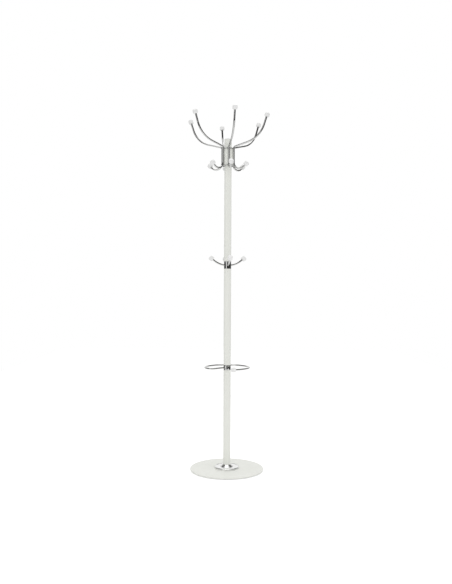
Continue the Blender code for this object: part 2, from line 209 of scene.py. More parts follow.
panel_height = CAMERA_HEIGHT + up_the_wall(PANEL_RISE)
from_panel = sums(cloth, "ABSOLUTE", sums(cloth, "SUBTRACT", cloth_height, panel_height))
in_height = add(cloth, "ShaderNodeMapRange", {
    "Value": from_panel, "From Min": up_the_wall(PANEL_HALF_HEIGHT),
    "From Max": up_the_wall(PANEL_HALF_HEIGHT + PANEL_SOFT_END), "To Min": 1.0, "To Max": 0.0,
}, interpolation_type="SMOOTHSTEP").outputs[0]
panel_tone = sums(cloth, "MULTIPLY", PANEL_LIGHT, sums(cloth, "MULTIPLY", in_width, in_height))
wall_tone = sums(cloth, "MAXIMUM", cloth_tone.outputs[0], panel_tone)
on_paint = sums(cloth, "MINIMUM", add(cloth, "ShaderNodeLightPath").outputs["Diffuse Depth"], 1.0)
wall_light = add(cloth, "ShaderNodeMix", {0: on_paint, 2: wall_tone, 3: ROOM_LIGHT}, data_type="FLOAT")
cloth_face = add(cloth, "ShaderNodeEmission", {"Strength": wall_light.outputs[0]})
add(cloth, "ShaderNodeOutputMaterial", {"Surface": cloth_face.outputs[0]})

walls = bmesh.new()
rows = []
turns = range(-180, 180, WALL_TURN_STEP)
rises = range(WALL_LOW, WALL_HIGH + 1, WALL_RISE_STEP)
for rise in rises:
    out = Vector((0, -WALL_DISTANCE, 0))
    out.rotate(Matrix.Rotation(-math.radians(rise), 3, "X"))
    rows.append([walls.verts.new(facing @ Matrix.Rotation(math.radians(t), 4, "Z") @ out) for t in turns])
for rise, below, above in zip(rises, rows, rows[1:]):
    for i, turn in enumerate(turns):
        if abs(turn + WALL_TURN_STEP / 2) < WALL_HALF_TURN or rise < WALL_BACK_HIGH:
            k = (i + 1) % len(below)
            walls.faces.new((below[i], below[k], above[k], above[i]))
for corner in walls.verts:
    corner.co.z += CAMERA_HEIGHT
dark_walls = stage_piece("dark_walls", walls, wall_cloth)
for sight in ("camera", "diffuse", "transmission", "volume_scatter", "shadow"):
    setattr(dark_walls, "visible_" + sight, False)


def soft_lamp(name, spot, aim, width, height, power, in_metal=True):
    """A square lamp with a large soft face, in the camera's directions."""
    light = bpy.data.lights.new(name, "AREA")
    light.shape = "RECTANGLE"
    light.size = width
    light.size_y = height
    light.energy = power
    lamp = bpy.data.objects.new(name, light)
    scene.collection.objects.link(lamp)
    look = (Vector(aim) - Vector(spot)).to_track_quat("-Z", "Y").to_matrix().to_4x4()
    lamp.matrix_world = facing @ Matrix.Translation(spot) @ look
    lamp.visible_camera = False
    lamp.visible_glossy = in_metal


soft_lamp(
    "side_lamp", spot=(-2.05, -2.45, 1.20), aim=(0, 0, 1.0), width=1.3, height=2.0, power=4.0, in_metal=False
)
soft_lamp(
    "fill_lamp", spot=(1.6, -2.8, 0.55), aim=(0, 0, 0.5), width=1.6, height=1.0, power=7.0, in_metal=False
)
soft_lamp("top_lamp", spot=(0, 0.5, 7.0), aim=(0, 0, 0), width=4.8, height=4.8, power=80.0)

# Base plate: a flat disc of steel with a soft edge, blasted and powder coated in a warm white.
# Three countersunk holes on its underside take the screws that hold the spindle.
PLATE_D = 0.380
PLATE_LOW = 0.0025
PLATE_HIGH = 0.0105
PLATE_TOP_EDGE_R = 0.003
PLATE_LOW_EDGE_R = 0.001
PLATE_STEPS = 144
SCREW_GAP = 0.0003
SCREW_D = 0.006
SCREW_HEAD_D = 0.0115
SCREW_HEAD_H = 0.0033
SCREW_HEAD_RIM_H = SCREW_HEAD_H / 6
SCREW_CIRCLE_R = 0.032
SCREW_COUNT = 3
SCREW_STEPS = 32
SCREW_DRILL_LOW = -0.002
SCREW_DRILL_HIGH = 0.020
SLIVER_WIDTH = 0.000003


def rounded(corners, step=12):
    """An outline through (radius, height, fillet) corners, with a chord in a fillet for every few degrees."""
    outline = []
    for i, (x, y, fillet) in enumerate(corners):
        corner = Vector((x, y))
        if fillet == 0:
            outline.append((x, y))
            continue
        before = (Vector(corners[i - 1][:2]) - corner).normalized()
        after = (Vector(corners[(i + 1) % len(corners)][:2]) - corner).normalized()
        half = before.angle(after) / 2
        centre = corner + (before + after).normalized() * fillet / math.sin(half)
        first = corner + before * fillet / math.tan(half) - centre
        turn = first.angle_signed(corner + after * fillet / math.tan(half) - centre)
        count = max(2, math.ceil(abs(math.degrees(turn)) / step))
        for share in range(count + 1):
            spoke = first.copy()
            spoke.rotate(Matrix.Rotation(-turn * share / count, 2))
            outline.append((centre + spoke)[:])
    return outline


def turned(name, outline, steps):
    """A mesh turned about Z. An outline that starts on the axis ends there, and any other closes itself."""
    shape = bmesh.new()
    turns = [math.tau * i / steps for i in range(steps)]
    rows = []
    for x, z in outline:
        if x == 0:
            rows.append([shape.verts.new((0, 0, z))] * steps)
        else:
            rows.append([shape.verts.new((x * math.cos(turn), x * math.sin(turn), z)) for turn in turns])
    following = rows[1:] if outline[0][0] == 0 else rows[1:] + rows[:1]
    for row, after in zip(rows, following):
        for i in range(steps):
            corners = (row[i - 1], row[i], after[i], after[i - 1])
            shape.faces.new(list(dict.fromkeys(corners)))
    bmesh.ops.recalc_face_normals(shape, faces=shape.faces)
    mesh = bpy.data.meshes.new(name)
    shape.to_mesh(mesh)
    shape.free()
    return smoothed(mesh)


def smoothed(mesh, angle=32):
    """The mesh with its round faces shaded smooth and its edges sharp."""
    mesh.shade_smooth()
    mesh.set_sharp_from_angle(angle=math.radians(angle))
    return mesh


def moved(mesh, where):
    """A copy of a mesh put in its place."""
    copy = mesh.copy()
    copy.transform(where)
    return copy


def stand_in(mesh):
    """A short-lived object, for a modifier to work on."""
    made = bpy.data.objects.new("stand_in", mesh)
    scene.collection.objects.link(made)
    return made


def made_plain(source):
    """The plain mesh of an object with its modifiers, which are then taken away with it."""
    depsgraph = bpy.context.evaluated_depsgraph_get()
    mesh = bpy.data.meshes.new_from_object(source.evaluated_get(depsgraph), depsgraph=depsgraph)
    source.modifiers.clear()
    bpy.data.objects.remove(source)
    return mesh


def bored(name, mesh, drills):
    """A mesh with holes and recesses cut into it by drill meshes."""
    blank = stand_in(mesh)
    guides = [stand_in(drill) for drill in drills]
    for guide in guides:
        boolean = blank.modifiers.new("bore", "BOOLEAN")
        boolean.operation = "DIFFERENCE"
        boolean.solver = "EXACT"
        boolean.object = guide
    made = made_plain(blank)
    for guide in guides:
        bpy.data.objects.remove(guide)
    shape = bmesh.new()
    shape.from_mesh(made)
    bmesh.ops.dissolve_degenerate(shape, dist=SLIVER_WIDTH, edges=shape.edges)
    shape.to_mesh(made)
    shape.free()
    made.name = name
    return smoothed(made)


def placed(name, mesh):
    """A finished piece, with its place in its mesh."""
    made = bpy.data.objects.new(name, mesh)
    scene.collection.objects.link(made)
    return made


def around(turn, radius=0.0, height=0.0):
    """A place turned about the pole from the front, out by a radius and up by a height."""
    return Matrix.Rotation(math.radians(turn), 4, "Z") @ Matrix.Translation((0, -radius, height))


def effect(name, inputs, outputs):
    """A shader node group with named inputs and outputs, given as a tree and its two end nodes."""
    tree = bpy.data.node_groups.new(name, "ShaderNodeTree")
    for label, kind in inputs.items():
        tree.interface.new_socket(label, in_out="INPUT", socket_type="NodeSocket" + kind)
    for label, kind in outputs.items():
        tree.interface.new_socket(label, in_out="OUTPUT", socket_type="NodeSocket" + kind)
    return tree, tree.nodes.new("NodeGroupInput").outputs, tree.nodes.new("NodeGroupOutput").inputs


def mapped(tree, value, low, high, from_low=0.0, from_high=1.0):
    """A value brought from one range to another."""
    return add(tree, "ShaderNodeMapRange", {
        "Value": value, "From Min": from_low, "From Max": from_high, "To Min": low, "To Max": high,
    }).outputs["Result"]


def two_tone(tree, share, first, second):
    """A colour between two colours, each a value or the output of a node."""
    return add(tree, "ShaderNodeMix", {0: share, 6: first, 7: second}, data_type="RGBA").outputs[2]


# The grain of a sprayed, moulded or cast surface: fine bumps, and wide patches of a slightly other tone
PATCH_EDGES = (0.3, 0.7)
grain, grain_in, grain_out = effect(
    "surface_grain",
    {"Vector": "Vector", "Grain Size": "Float", "Patch Size": "Float"},
    {"Grain": "Float", "Patches": "Float"},
)
bumps = add(grain, "ShaderNodeTexNoise", {
    "Vector": grain_in["Vector"], "Scale": sums(grain, "DIVIDE", 1.0, grain_in["Grain Size"]),
    "Detail": 2.0, "Roughness": 0.45,
})
patches = add(grain, "ShaderNodeTexNoise", {
    "Vector": grain_in["Vector"], "Scale": sums(grain, "DIVIDE", 1.0, grain_in["Patch Size"]),
    "Detail": 3.0, "Roughness": 0.55,
})
grain.links.new(bumps.outputs["Fac"], grain_out["Grain"])
grain.links.new(mapped(grain, patches.outputs["Fac"], 0.0, 1.0, *PATCH_EDGES), grain_out["Patches"])

# Fine dust that settles on faces that look up
DUST_UPWARD = (0.7, 0.98)
DUST_SPECKS = (0.45, 0.75)
dust, dust_in, dust_out = effect(
    "settled_dust", {"Vector": "Vector", "Speck Size": "Float"}, {"Dust": "Float"}
)
dust_normal = add(dust, "ShaderNodeNewGeometry").outputs["Normal"]
dust_up = add(dust, "ShaderNodeSeparateXYZ", {0: dust_normal}).outputs["Z"]
specks = add(dust, "ShaderNodeTexNoise", {
    "Vector": dust_in["Vector"], "Scale": sums(dust, "DIVIDE", 1.0, dust_in["Speck Size"]),
    "Detail": 4.0, "Roughness": 0.7,
})
dust_flat = mapped(dust, dust_up, 0.0, 1.0, *DUST_UPWARD)
dust_specks = mapped(dust, specks.outputs["Fac"], 0.0, 1.0, *DUST_SPECKS)
dust.links.new(sums(dust, "MULTIPLY", dust_flat, dust_specks), dust_out["Dust"])


def group(tree, effect_tree, inputs):
    """The outputs of a shared effect in a material."""
    return add(tree, "ShaderNodeGroup", inputs, node_tree=effect_tree).outputs


def finished(name, values):
    """A new material with a main surface, whose plain values are set on its own inputs."""
    made = bpy.data.materials.new(name)
    tree = emptied(made)
    surface = add(tree, "ShaderNodeBsdfPrincipled", values)
    add(tree, "ShaderNodeOutputMaterial", {"Surface": surface.outputs[0]})
    spot = add(tree, "ShaderNodeTexCoord").outputs["Object"]
    return made, tree, surface.inputs, spot


def bumped(tree, surface, height, depth, strength=1.0):
    """Raises a surface by a height map of a depth in metres."""
    bump = add(tree, "ShaderNodeBump", {"Height": height, "Distance": depth, "Strength": strength})
    tree.links.new(bump.outputs[0], surface["Normal"])


COAT_WHITE = (0.800, 0.808, 0.762, 1)
COAT_PATCH = (0.780, 0.789, 0.742, 1)
COAT_DUST = (0.74, 0.735, 0.70, 1)
COAT_DUST_COVER = 0.10
COAT_DUST_ROUGH = 0.12
COAT_ROUGH = (0.38, 0.46)
COAT_GRAIN_DEPTH = 0.00005
coat, coat_tree, coat_surface, coat_spot = finished("powder_coat", {"IOR": 1.5})
coat_grain = group(coat_tree, grain, {"Vector": coat_spot, "Grain Size": 0.0016, "Patch Size": 0.09})
coat_dust = group(coat_tree, dust, {"Vector": coat_spot, "Speck Size": 0.02})["Dust"]
coat_clean = two_tone(coat_tree, coat_grain["Patches"], COAT_WHITE, COAT_PATCH)
coat_cover = sums(coat_tree, "MULTIPLY", coat_dust, COAT_DUST_COVER)
coat_tree.links.new(two_tone(coat_tree, coat_cover, coat_clean, COAT_DUST), coat_surface["Base Color"])
coat_clean_rough = mapped(coat_tree, coat_grain["Patches"], *COAT_ROUGH)
coat_rough = sums(coat_tree, "MULTIPLY_ADD", coat_dust, COAT_DUST_ROUGH, coat_clean_rough)
coat_tree.links.new(coat_rough, coat_surface["Roughness"])
bumped(coat_tree, coat_surface, coat_grain["Grain"], COAT_GRAIN_DEPTH, strength=0.5)

plate_blank = turned("base_plate_blank", rounded([
    (0, PLATE_HIGH, 0),
    (PLATE_D / 2, PLATE_HIGH, PLATE_TOP_EDGE_R),
    (PLATE_D / 2, PLATE_LOW, PLATE_LOW_EDGE_R),
    (0, PLATE_LOW, 0),
]), PLATE_STEPS)
screw_drill = turned("screw_drill", [
    (0, SCREW_DRILL_HIGH),
    (SCREW_D / 2 + SCREW_GAP, SCREW_DRILL_HIGH),
    (SCREW_D / 2 + SCREW_GAP, PLATE_LOW + SCREW_HEAD_H + SCREW_GAP),
    (SCREW_HEAD_D / 2 + SCREW_GAP, PLATE_LOW + SCREW_HEAD_RIM_H + SCREW_GAP),
    (SCREW_HEAD_D / 2 + SCREW_GAP, SCREW_DRILL_LOW),
    (0, SCREW_DRILL_LOW),
], SCREW_STEPS)
screw_turns = [360 / SCREW_COUNT * (i + 0.5) for i in range(SCREW_COUNT)]
screw_spots = [around(turn, SCREW_CIRCLE_R) for turn in screw_turns]
plate_mesh = bored("plate", plate_blank, [moved(screw_drill, spot) for spot in screw_spots])
plate_mesh.materials.append(coat)
plate = placed("plate", plate_mesh)
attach(plate, "base")
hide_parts("base_plate")

# Foot pads: four round pads of black rubber, pressed with two grooves and glued under the plate.
# They keep the steel off the floor and are the only thing the stand rests on.
PAD_D = 0.030
PAD_T = 0.0022
PAD_EDGE_R = 0.0007
PAD_GROOVE_H = 0.0007
PAD_GROOVES = ((0.0045, 0.0065), (0.0090, 0.0110))
PAD_CIRCLE_R = 0.160
PAD_COUNT = 4
PAD_FIRST_TURN = math.radians(45)
PAD_STEPS = 40
RUBBER_DARK = (0.030, 0.030, 0.030, 1)
RUBBER_WORN = (0.050, 0.049, 0.047, 1)
RUBBER_ROUGH = (0.78, 0.90)
RUBBER_GRAIN_DEPTH = 0.0001


def tree_of(name, inputs):
    """A geometry tree with named inputs, given with the outputs of its input node."""
    tree = bpy.data.node_groups.new(name, "GeometryNodeTree")
    tree.interface.new_socket("Geometry", in_out="OUTPUT", socket_type="NodeSocketGeometry")
    tree.interface.new_socket("Geometry", in_out="INPUT", socket_type="NodeSocketGeometry")
    for label, kind in inputs.items():
        tree.interface.new_socket(label, in_out="INPUT", socket_type="NodeSocket" + kind)
    return tree, tree.nodes.new("NodeGroupInput").outputs


def end_round_pole(tree, entry, shape):
    """Ends a tree with copies of a shape turned about the pole, made real and given their finish."""
    spots = add(tree, "GeometryNodePoints", {"Count": entry["Count"]})
    order = add(tree, "GeometryNodeInputIndex").outputs[0]
    step = sums(tree, "DIVIDE", math.tau, entry["Count"])
    turn = sums(tree, "MULTIPLY_ADD", order, step, entry["First Turn"])
    heading = add(tree, "ShaderNodeCombineXYZ", {"Z": turn})
    copies = add(tree, "GeometryNodeInstanceOnPoints", {
        "Points": spots.outputs[0], "Instance": shape, "Rotation": heading.outputs[0],
    })
    real = add(tree, "GeometryNodeRealizeInstances", {"Geometry": copies.outputs[0]})
    finish = add(tree, "GeometryNodeSetMaterial", {"Geometry": real.outputs[0], "Material": entry["Finish"]})
    add(tree, "NodeGroupOutput", {0: finish.outputs[0]})


def grown(name, start, tree, values):
    """The plain mesh that a tree makes from a starting mesh, with the tree's named inputs set."""
    source = stand_in(start)
    growth = source.modifiers.new("growth", "NODES")
    growth.node_group = tree
    for socket in tree.interface.items_tree:
        if socket.in_out == "INPUT" and socket.name in values:
            growth[socket.identifier] = values[socket.name]
    mesh = made_plain(source)
    mesh.name = name
    return mesh


copies_tree, copies_in = tree_of("copies_round_pole", {
    "Count": "Int", "First Turn": "Float", "Finish": "Material",
})
end_round_pole(copies_tree, copies_in, copies_in["Geometry"])

rubber, rubber_tree, rubber_surface, rubber_spot = finished("pad_rubber", {"Specular IOR Level": 0.3})
rubber_grain = group(rubber_tree, grain, {"Vector": rubber_spot, "Grain Size": 0.0007, "Patch Size": 0.008})
rubber_black = two_tone(rubber_tree, rubber_grain["Patches"], RUBBER_DARK, RUBBER_WORN)
rubber_tree.links.new(rubber_black, rubber_surface["Base Color"])
rubber_rough = mapped(rubber_tree, rubber_grain["Patches"], *RUBBER_ROUGH)
rubber_tree.links.new(rubber_rough, rubber_surface["Roughness"])
bumped(rubber_tree, rubber_surface, rubber_grain["Grain"], RUBBER_GRAIN_DEPTH)

pad_outline = [(0, PAD_T, 0), (PAD_D / 2, PAD_T, 0), (PAD_D / 2, 0, PAD_EDGE_R)]
for inner, outer in reversed(PAD_GROOVES):
    pad_outline += [(outer, 0, 0), (outer, PAD_GROOVE_H, 0), (inner, PAD_GROOVE_H, 0), (inner, 0, 0)]
pad_shape = turned("pad_shape", rounded(pad_outline + [(0, 0, 0)]), PAD_STEPS)
pad_shape.transform(Matrix.Translation((0, -PAD_CIRCLE_R, 0)))
pads = placed("pads", grown("pads", pad_shape, copies_tree, {
    "Count": PAD_COUNT, "First Turn": PAD_FIRST_TURN, "Finish": rubber,
}))
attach(pads, "base")
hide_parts(*[f"foot_pad_{i + 1}" for i in range(PAD_COUNT)])

# Bearing: a turned steel spindle with its flange, washers and keeper, and two nylon bushes in the foot of
# the pole. All of it is closed in by the pole and the rosette.
# Only the heads of the three socket screws that hold it show, under the plate.
SOCKET_D = 0.0046
SOCKET_DEPTH = 0.0022
SCREW_TIP = 0.0155
SCREW_TIP_CHAMFER = 0.0005
STEEL_LIGHT = (0.50, 0.51, 0.52, 1)
STEEL_DARK = (0.42, 0.42, 0.43, 1)
STEEL_ROUGH = (0.28, 0.42)
STEEL_RING_DEPTH = 0.00002
NYLON_LIGHT = (0.72, 0.70, 0.64, 1)
NYLON_DARK = (0.66, 0.63, 0.56, 1)
NYLON_ROUGH = (0.42, 0.55)
NYLON_GRAIN_DEPTH = 0.00005

# The fine rings that a lathe leaves on metal
WAVE_WIDTH = 0.05
rings, rings_in, rings_out = effect(
    "lathe_rings", {"Vector": "Vector", "Ring Width": "Float"}, {"Rings": "Float"}
)
ring_wave = add(rings, "ShaderNodeTexWave", {
    "Vector": rings_in["Vector"], "Scale": sums(rings, "DIVIDE", WAVE_WIDTH, rings_in["Ring Width"]),
    "Distortion": 1.5, "Detail": 2.0, "Detail Scale": 1.5,
}, wave_type="RINGS", rings_direction="Z")
rings.links.new(ring_wave.outputs["Fac"], rings_out["Rings"])

steel, steel_tree, steel_surface, steel_spot = finished("turned_steel", {"Metallic": 1.0})
steel_rings = group(steel_tree, rings, {"Vector": steel_spot, "Ring Width": 0.0004})["Rings"]
steel_grain = group(steel_tree, grain, {"Vector": steel_spot, "Grain Size": 0.0010, "Patch Size": 0.012})
steel_grey = two_tone(steel_tree, steel_grain["Patches"], STEEL_LIGHT, STEEL_DARK)
steel_tree.links.new(steel_grey, steel_surface["Base Color"])
steel_tree.links.new(mapped(steel_tree, steel_rings, *STEEL_ROUGH), steel_surface["Roughness"])
bumped(steel_tree, steel_surface, steel_rings, STEEL_RING_DEPTH)

nylon, nylon_tree, nylon_surface, nylon_spot = finished("bush_nylon", {"Subsurface Weight": 0.1})
nylon_grain = group(nylon_tree, grain, {"Vector": nylon_spot, "Grain Size": 0.0008, "Patch Size": 0.01})
nylon_tone = two_tone(nylon_tree, nylon_grain["Patches"], NYLON_LIGHT, NYLON_DARK)
nylon_tree.links.new(nylon_tone, nylon_surface["Base Color"])
nylon_tree.links.new(mapped(nylon_tree, nylon_grain["Patches"], *NYLON_ROUGH), nylon_surface["Roughness"])
bumped(nylon_tree, nylon_surface, nylon_grain["Grain"], NYLON_GRAIN_DEPTH)


def finish_solids(finish, *names):
    """Gives solids that stay as they are their finish."""
    for name in names:
        solid = frame["nodes"][name].data
        solid.materials.clear()
        solid.materials.append(finish)


finish_solids(steel, "spindle", "thrust_washer", "keeper_washer", "keeper_screw")
finish_solids(nylon, "lower_bush", "upper_bush")

screw_low = PLATE_LOW + SCREW_GAP
screw_blank = turned("screw_blank", [
    (0, SCREW_TIP),
    (SCREW_D / 2 - SCREW_TIP_CHAMFER, SCREW_TIP),
    (SCREW_D / 2, SCREW_TIP - SCREW_TIP_CHAMFER),
    (SCREW_D / 2, PLATE_LOW + SCREW_HEAD_H),
    (SCREW_HEAD_D / 2, PLATE_LOW + SCREW_HEAD_RIM_H),
    (SCREW_HEAD_D / 2, screw_low),
    (0, screw_low),
], SCREW_STEPS)


def hex_drill(width, low, high):
    """A drill for a socket with six sides, from its width across the corners."""
    return turned("socket_drill", [(0, high), (width / 2, high), (width / 2, low), (0, low)], 6)


screw_shape = bored("screw_shape", screw_blank, [hex_drill(SOCKET_D, 0, screw_low + SOCKET_DEPTH)])
screw_shape.transform(screw_spots[0])
screws = placed("screws", grown("screws", screw_shape, copies_tree, {
    "Count": SCREW_COUNT, "First Turn": 0.0, "Finish": steel,
}))
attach(screws, "base")
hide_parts(*[f"spindle_screw_{i + 1}" for i in range(SCREW_COUNT)])

# Rosette: a cover spun from thin sheet steel, with the fine rings of the spinning, chromed to a satin shine.
# Its upright rim rests on the plate and rolls over a crest. Its cone closes up round the foot of the pole.
ROSETTE_FOOT = 0.0106
ROSETTE_D = 0.128
ROSETTE_RIM_H = 0.0056
ROSETTE_RIM_R = 0.0004
ROSETTE_CREST_D = 0.1232
ROSETTE_CREST_W = 0.0008
ROSETTE_CREST_H = 0.0080
ROSETTE_CREST_R = 0.0006
ROSETTE_VALLEY_D = 0.1186
ROSETTE_VALLEY_H = 0.0065
ROSETTE_CONE_D = 0.069
ROSETTE_CONE_R = 0.003
ROSETTE_LIP = 0.0018
ROSETTE_H = 0.0185
ROSETTE_WALL = 0.0012
ROSETTE_HOLE_R = 0.0198
ROSETTE_STEPS = 96
ROSETTE_ARC_STEP = 8
SATIN_LIGHT = (0.900, 0.900, 0.888, 1)
SATIN_DARK = (0.860, 0.862, 0.850, 1)
SATIN_ROUGH = (0.24, 0.30)
SATIN_RING_ROUGH = 0.05
SATIN_RING_DEPTH = 0.0000025

# The marks of polishing and of hands on bright metal: wide smears, and a slow waviness under the shine
SMEAR_EDGES = (0.35, 0.7)
polish, polish_in, polish_out = effect(
    "polish_marks",
    {"Vector": "Vector", "Smear Size": "Float", "Wave Size": "Float"},
    {"Smears": "Float", "Waves": "Float"},
)
smears = add(polish, "ShaderNodeTexNoise", {
    "Vector": polish_in["Vector"], "Scale": sums(polish, "DIVIDE", 1.0, polish_in["Smear Size"]),
    "Detail": 5.0, "Roughness": 0.62, "Distortion": 0.6,
})
waves = add(polish, "ShaderNodeTexNoise", {
    "Vector": polish_in["Vector"], "Scale": sums(polish, "DIVIDE", 1.0, polish_in["Wave Size"]),
    "Detail": 0.0,
})
polish.links.new(mapped(polish, smears.outputs["Fac"], 0.0, 1.0, *SMEAR_EDGES), polish_out["Smears"])
polish.links.new(waves.outputs["Fac"], polish_out["Waves"])

satin, satin_tree, satin_surface, satin_spot = finished("satin_chrome", {"Metallic": 1.0})
satin_marks = group(satin_tree, polish, {"Vector": satin_spot, "Smear Size": 0.03, "Wave Size": 0.006})
satin_rings = group(satin_tree, rings, {"Vector": satin_spot, "Ring Width": 0.0005})["Rings"]
satin_tone = two_tone(satin_tree, satin_marks["Smears"], SATIN_LIGHT, SATIN_DARK)
satin_tree.links.new(satin_tone, satin_surface["Base Color"])
satin_smear_rough = mapped(satin_tree, satin_marks["Smears"], *SATIN_ROUGH)
satin_rough = sums(satin_tree, "MULTIPLY_ADD", satin_rings, SATIN_RING_ROUGH, satin_smear_rough)
satin_tree.links.new(satin_rough, satin_surface["Roughness"])
bumped(satin_tree, satin_surface, satin_rings, SATIN_RING_DEPTH)

rosette_top = ROSETTE_FOOT + ROSETTE_H
rosette_crest = ROSETTE_FOOT + ROSETTE_CREST_H
rosette_valley = ROSETTE_FOOT + ROSETTE_VALLEY_H
rosette_outside = rounded([
    (ROSETTE_D / 2, ROSETTE_FOOT, 0),
    (ROSETTE_D / 2, ROSETTE_FOOT + ROSETTE_RIM_H, ROSETTE_RIM_R),
    (ROSETTE_CREST_D / 2, rosette_crest, ROSETTE_CREST_R),
    (ROSETTE_CREST_D / 2 - ROSETTE_CREST_W, rosette_crest, ROSETTE_CREST_R),
    (ROSETTE_VALLEY_D / 2, rosette_valley, ROSETTE_CREST_R),
    (ROSETTE_CONE_D / 2, rosette_valley, ROSETTE_CONE_R),
    (ROSETTE_HOLE_R + ROSETTE_LIP, rosette_top, 0),
    (ROSETTE_HOLE_R, rosette_top, 0),
], ROSETTE_ARC_STEP)
rosette_inside = rounded([
    (ROSETTE_HOLE_R, rosette_top - 2 * ROSETTE_WALL, 0),
    (ROSETTE_CONE_D / 2 - ROSETTE_WALL, rosette_valley - ROSETTE_WALL, ROSETTE_CONE_R + ROSETTE_WALL),
    (ROSETTE_D / 2 - ROSETTE_WALL, rosette_valley - ROSETTE_WALL, ROSETTE_CREST_R),
    (ROSETTE_D / 2 - ROSETTE_WALL, ROSETTE_FOOT, 0),
], ROSETTE_ARC_STEP)
rosette_mesh = turned("rosette_bell", rosette_outside + rosette_inside, ROSETTE_STEPS)
rosette_mesh.materials.append(satin)
rosette = placed("rosette_bell", rosette_mesh)
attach(rosette, "base")
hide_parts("rosette")

# Pole: three lengths of steel tube, cut square with the edges broken, and powder coated like the plate.
# The lowest one turns on the bearing, and the joints between them are in the collars.
POLE_D = 0.038
POLE_BORE_D = 0.035
POLE_EDGE_R = 0.0005
POLE_STEPS = 64
for name, solid, low, high in (
    ("lower_tube", "pole_lower", 0.0217, 0.5217),
    ("middle_tube", "pole_middle", 0.5473, 1.0503),
    ("upper_tube", "pole_upper", 1.0889, 1.7249),
):
    tube_mesh = turned(name, rounded([
        (POLE_BORE_D / 2, high, 0),
        (POLE_D / 2, high, POLE_EDGE_R),
        (POLE_D / 2, low, POLE_EDGE_R),
        (POLE_BORE_D / 2, low, 0),
    ], step=30), POLE_STEPS)
    tube_mesh.materials.append(coat)
    tube = placed(name, tube_mesh)
    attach(tube, "column")
    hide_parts(solid)

# Collars: two turned and chromed rings between the tubes, drilled for the rods that sit in them.
# A stud through each one draws the inserts of the two tubes together.
ROD_HOLE_D = 0.0101
ROD_HOLE_STEPS = 32
ROD_SEAT = 0.0093
SEAT_DRILL_OUT = 0.012
COLLAR_EDGE_R = 0.0008
COLLAR_BORE_D = 0.0126
UMBRELLA_COLLAR = (0.5220, 0.5470)
PEG_COLLAR = (1.0506, 1.0886)
UMBRELLA_TURN = -55.0
UMBRELLA_Z = sum(UMBRELLA_COLLAR) / 2
PEG_COUNT = 4
PEG_TILT = math.radians(10.0)
PEG_Z = sum(PEG_COLLAR) / 2
CHROME_LIGHT = (0.560, 0.560, 0.550, 1)
CHROME_DARK = (0.520, 0.522, 0.515, 1)
CHROME_ROUGH = (0.05, 0.11)
CHROME_WAVE_DEPTH = 0.00004
chrome, chrome_tree, chrome_surface, chrome_spot = finished("bright_chrome", {"Metallic": 1.0})
chrome_marks = group(chrome_tree, polish, {"Vector": chrome_spot, "Smear Size": 0.03, "Wave Size": 0.006})
chrome_tone = two_tone(chrome_tree, chrome_marks["Smears"], CHROME_LIGHT, CHROME_DARK)
chrome_tree.links.new(chrome_tone, chrome_surface["Base Color"])
chrome_rough = mapped(chrome_tree, chrome_marks["Smears"], *CHROME_ROUGH)
chrome_tree.links.new(chrome_rough, chrome_surface["Roughness"])
bumped(chrome_tree, chrome_surface, chrome_marks["Waves"], CHROME_WAVE_DEPTH)

seat_drill = turned("seat_drill", [
    (0, SEAT_DRILL_OUT), (ROD_HOLE_D / 2, SEAT_DRILL_OUT), (ROD_HOLE_D / 2, -ROD_SEAT), (0, -ROD_SEAT),
], ROD_HOLE_STEPS)


def seat(turn, height, tilt=0.0):
    """A drill in its place on a collar, pointing away from the pole and tilted up."""
    return moved(seat_drill, around(turn, POLE_D / 2, height) @ Matrix.Rotation(math.pi / 2 - tilt, 4, "X"))


peg_turns = [360 / PEG_COUNT * i for i in range(PEG_COUNT)]
for name, solid, (low, high), drills in (
    ("lower_collar", "umbrella_collar", UMBRELLA_COLLAR, [seat(UMBRELLA_TURN, UMBRELLA_Z)]),
    ("upper_collar", "peg_collar", PEG_COLLAR, [seat(turn, PEG_Z, PEG_TILT) for turn in peg_turns]),
):
    collar_mesh = bored(name, turned(name + "_blank", rounded([
        (COLLAR_BORE_D / 2, high, 0),
        (POLE_D / 2, high, COLLAR_EDGE_R),
        (POLE_D / 2, low, COLLAR_EDGE_R),
        (COLLAR_BORE_D / 2, low, 0),
    ], step=15), POLE_STEPS), drills)
    collar_mesh.materials.append(chrome)
    collar = placed(name, collar_mesh)
    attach(collar, "column")
    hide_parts(solid)
    finish_solids(steel, solid + "_stud", solid + "_lower_insert", solid + "_upper_insert")

# Knobs: round white caps moulded in a hard glossy plastic, with a blind bore pushed on the end of a rod.
# A fine line round the side shows where the two halves of the mould met.
KNOB_D = 0.0257
KNOB_L = 0.0214
KNOB_BORE_L = 0.012
KNOB_BORE_GAP = 0.0003
KNOB_MOUTH_R = 0.0045
KNOB_CROWN_R = 0.0065
KNOB_LIP_R = 0.0006
MOULD_LINE_Z = 0.0140
MOULD_LINE_W = 0.0004
MOULD_LINE_DEPTH = 0.00015
KNOB_STEPS = 40
PLASTIC_WHITE = (0.810, 0.810, 0.806, 1)
PLASTIC_PATCH = (0.795, 0.795, 0.790, 1)
PLASTIC_ROUGH = (0.26, 0.36)
PLASTIC_GRAIN_DEPTH = 0.00003
plastic, plastic_tree, plastic_surface, plastic_spot = finished("white_plastic", {"IOR": 1.46})
plastic_grain = group(plastic_tree, grain, {"Vector": plastic_spot, "Grain Size": 0.0012, "Patch Size": 0.02})
plastic_tone = two_tone(plastic_tree, plastic_grain["Patches"], PLASTIC_WHITE, PLASTIC_PATCH)
plastic_tree.links.new(plastic_tone, plastic_surface["Base Color"])
plastic_rough = mapped(plastic_tree, plastic_grain["Patches"], *PLASTIC_ROUGH)
plastic_tree.links.new(plastic_rough, plastic_surface["Roughness"])
bumped(plastic_tree, plastic_surface, plastic_grain["Grain"], PLASTIC_GRAIN_DEPTH)

